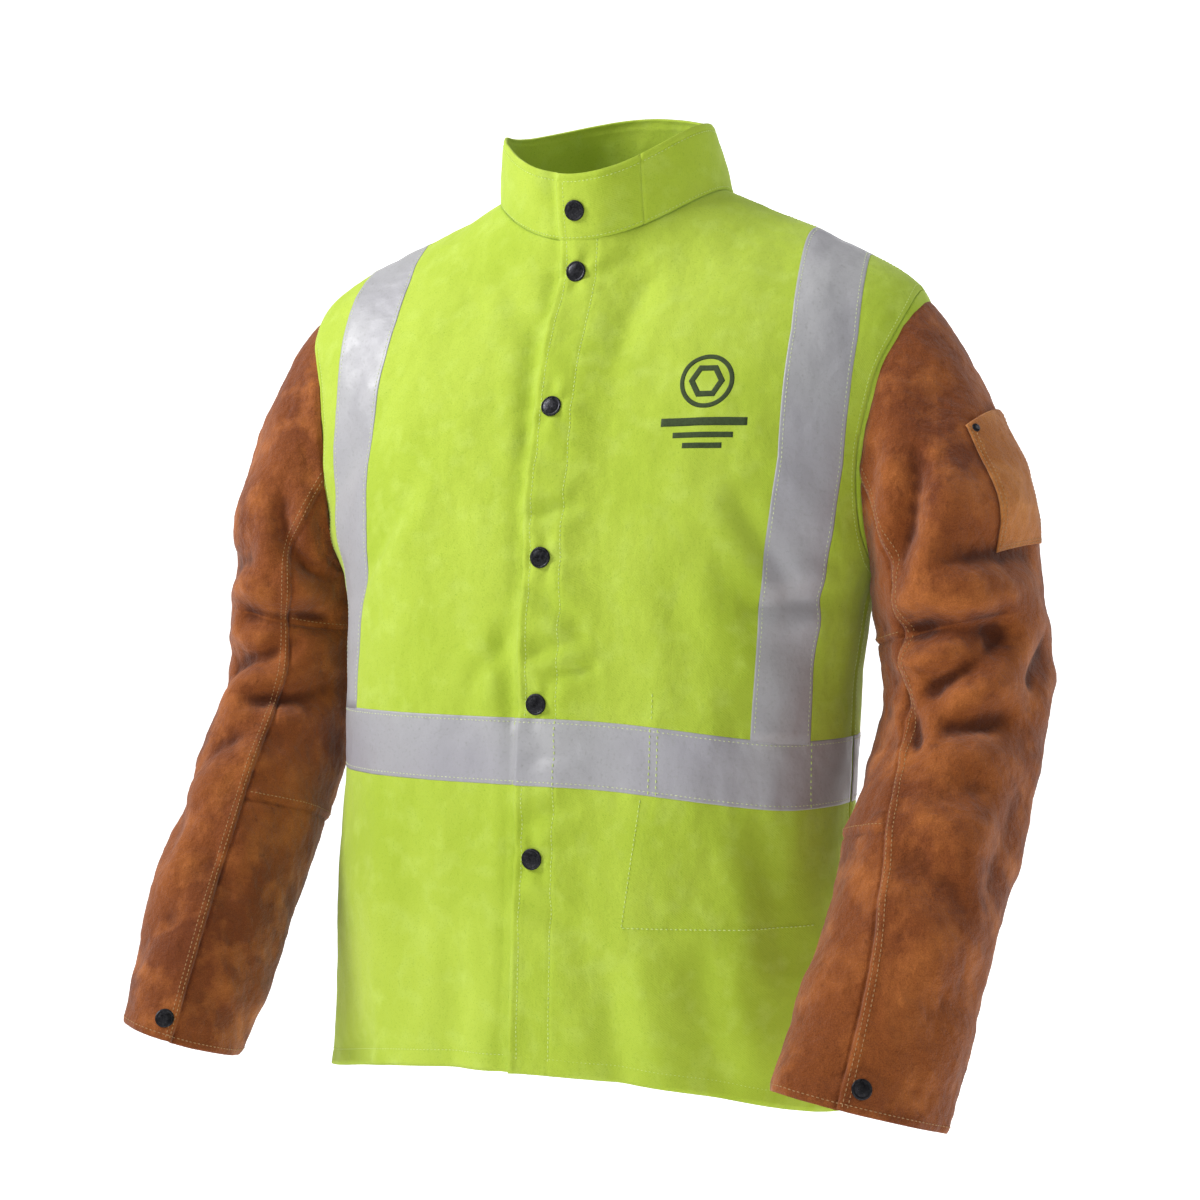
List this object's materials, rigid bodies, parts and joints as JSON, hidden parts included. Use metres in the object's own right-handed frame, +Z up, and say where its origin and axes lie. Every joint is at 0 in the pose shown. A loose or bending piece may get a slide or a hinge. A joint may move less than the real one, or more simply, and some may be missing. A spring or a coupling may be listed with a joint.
{
  "type": "welding jacket",
  "caption": "Stand-collar welding jacket with a lime cotton body, split-leather sleeves, snap front and reflective tape.",
  "frame": {"origin": "middle of the hanger loop's flat inner face, inside the back neck, where a hook bears", "axes": "+Z up, the front faces -Y, the wearer's left side is +X; as worn on a form, sleeves bent forward a little"},
  "size_m": [0.7126, 0.3698, 0.8085],
  "materials": {
    "lime_cotton": "matt heavy flame-resistant cotton sateen, yellow-green",
    "reflective_tape": "silver glass-bead reflective tape with a faint lavender sheen",
    "russet_leather": "napped split cowhide, russet brown",
    "tan_leather": "napped split cowhide, lighter tan",
    "gunmetal": "black-oxide press snaps and rivet, satin with worn rims"
  },
  "bodies": {
    "shell": {"back_panel": "lime_cotton", "right_front_panel": "lime_cotton", "left_front_panel": "lime_cotton", "left_front_fold": "lime_cotton", "collar_band": "lime_cotton", "collar_fold": "lime_cotton", "hanger_loop": "lime_cotton", "inside_pocket": "lime_cotton", "waist_tape_right_front": "reflective_tape", "waist_tape_fold": "reflective_tape", "waist_tape_left_front": "reflective_tape", "waist_tape_back": "reflective_tape", "shoulder_tape_left": "reflective_tape", "shoulder_tape_right": "reflective_tape", "left_sleeve_head": "russet_leather", "right_sleeve_head": "russet_leather", "snap_stud_collar": "gunmetal", "snap_stud_front_1": "gunmetal", "snap_stud_front_2": "gunmetal", "snap_stud_front_3": "gunmetal", "snap_stud_front_4": "gunmetal", "snap_stud_front_5": "gunmetal"},
    "placket_flap": {"placket_band": "lime_cotton", "collar_snap_end": "lime_cotton", "waist_tape_placket": "reflective_tape", "snap_cap_collar": "gunmetal", "snap_cap_front_1": "gunmetal", "snap_cap_front_2": "gunmetal", "snap_cap_front_3": "gunmetal", "snap_cap_front_4": "gunmetal", "snap_cap_front_5": "gunmetal"},
    "left_upper_sleeve": {"left_upper_top_sleeve": "russet_leather", "left_upper_under_sleeve": "russet_leather", "left_elbow": "russet_leather", "pen_pocket": "tan_leather", "pen_pocket_rivet": "gunmetal"},
    "left_forearm_sleeve": {"left_lower_top_sleeve": "russet_leather", "left_lower_under_sleeve": "russet_leather", "cuff_snap_left": "gunmetal"},
    "right_upper_sleeve": {"right_upper_top_sleeve": "russet_leather", "right_upper_under_sleeve": "russet_leather", "right_elbow": "russet_leather"},
    "right_forearm_sleeve": {"right_lower_top_sleeve": "russet_leather", "right_lower_under_sleeve": "russet_leather", "cuff_snap_right": "gunmetal"}
  },
  "joints": [
    {"name": "front_opening", "type": "hinge", "parent": "shell", "child": "placket_flap", "pos_m": [0.052, -0.187, -0.231], "axis": [0, 0.143, 0.9897], "range_deg": [0, 55], "deforming": ["left_front_fold", "collar_fold", "waist_tape_fold"]},
    {"name": "left_shoulder", "type": "hinge", "parent": "shell", "child": "left_upper_sleeve", "pos_m": [0.262, -0.078, -0.126], "axis": [0, -1, 0], "range_deg": [0, 35], "deforming": ["left_sleeve_head"]},
    {"name": "right_shoulder", "type": "hinge", "parent": "shell", "child": "right_upper_sleeve", "pos_m": [-0.262, -0.078, -0.126], "axis": [0, 1, 0], "range_deg": [0, 35], "deforming": ["right_sleeve_head"]},
    {"name": "left_elbow_bend", "type": "hinge", "parent": "left_upper_sleeve", "child": "left_forearm_sleeve", "pos_m": [0.304, -0.098, -0.386], "axis": [-1, 0, 0], "range_deg": [-20, 45], "deforming": ["left_elbow"]},
    {"name": "right_elbow_bend", "type": "hinge", "parent": "right_upper_sleeve", "child": "right_forearm_sleeve", "pos_m": [-0.289, -0.096, -0.386], "axis": [-1, 0, 0], "range_deg": [-20, 45], "deforming": ["right_elbow"]}
  ]
}
